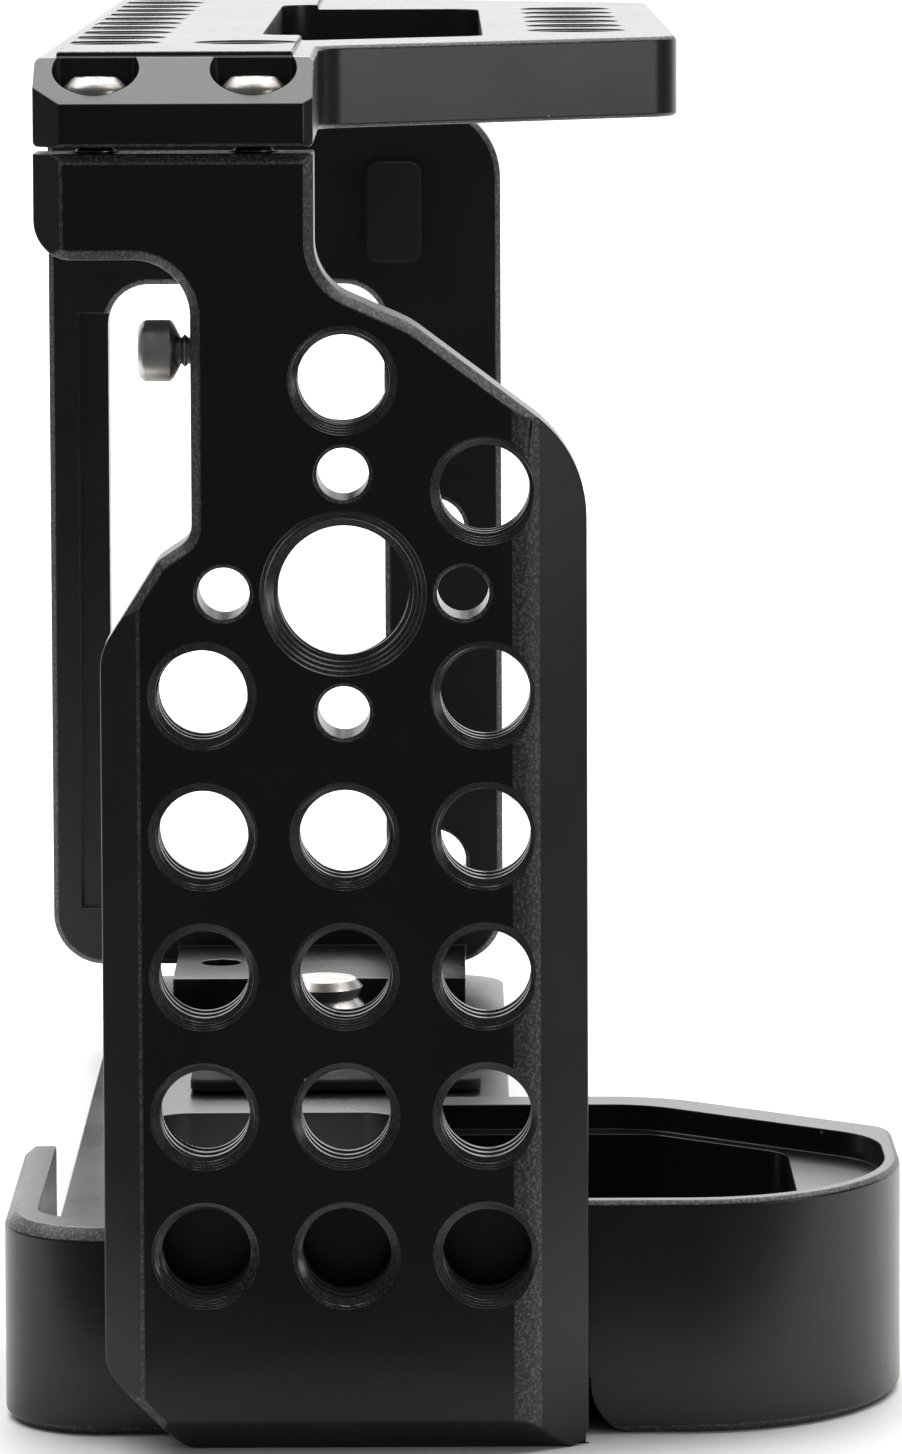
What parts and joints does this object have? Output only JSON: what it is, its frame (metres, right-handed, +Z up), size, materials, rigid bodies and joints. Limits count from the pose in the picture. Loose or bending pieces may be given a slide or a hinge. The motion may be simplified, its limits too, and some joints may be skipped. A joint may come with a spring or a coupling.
{
  "type": "camera cage",
  "caption": "Metal cage round a small camera, with a drilled grip-side plate, tub-shaped base, windowed port-side frame and flat top plate with tapped holes.",
  "frame": {"origin": "centre of the bounding box's underside, on the face the base stands on", "axes": "+X from the grip side to the port side, -Y the lens side, +Z up"},
  "size_m": [0.14, 0.0612, 0.0867],
  "materials": {
    "anodised_aluminium": "bead-blasted, black anodised, satin",
    "screw_steel": "bright nickel-plated steel",
    "clip_steel": "blackened spring steel",
    "pad_rubber": "matt black rubber"
  },
  "bodies": {
    "cage": {"base_tub": "anodised_aluminium", "grip_side_plate": "anodised_aluminium", "port_side_frame": "anodised_aluminium", "top_plate": "anodised_aluminium", "top_screw_grip_back": "screw_steel", "top_screw_grip_front": "screw_steel", "top_screw_port_back": "screw_steel", "top_screw_port_front": "screw_steel", "grip_foot_screw_1": "screw_steel", "grip_foot_screw_2": "screw_steel", "grip_foot_screw_3": "screw_steel", "port_foot_screw_1": "screw_steel", "port_foot_screw_2": "screw_steel", "floor_pad_centre": "pad_rubber", "floor_pad_grip": "pad_rubber", "floor_pad_cup": "pad_rubber", "floor_pad_port": "pad_rubber", "frame_pad": "pad_rubber"},
    "camera_screw_carrier": {"camera_screw_clip": "clip_steel"},
    "camera_screw_body": {"camera_screw": "screw_steel"},
    "lug_screw_body": {"lug_screw": "screw_steel"}
  },
  "joints": [
    {"name": "camera_screw_lift", "type": "slide", "parent": "cage", "child": "camera_screw_carrier", "axis": [0, 0, 1], "range_m": [0, 0.0008]},
    {"name": "camera_screw_turn", "type": "hinge", "parent": "camera_screw_carrier", "child": "camera_screw_body", "pos_m": [0.042, 0.0081, 0.0002], "axis": [0, 0, 1], "range_deg": [0, 230]},
    {"name": "lug_screw_travel", "type": "slide", "parent": "cage", "child": "lug_screw_body", "axis": [0, 1, 0], "range_m": [-0.00075, 0.004]}
  ],
  "couplings": [
    {"joint": "camera_screw_turn", "follows": "camera_screw_lift", "rad_per_m": 4947.4}
  ]
}
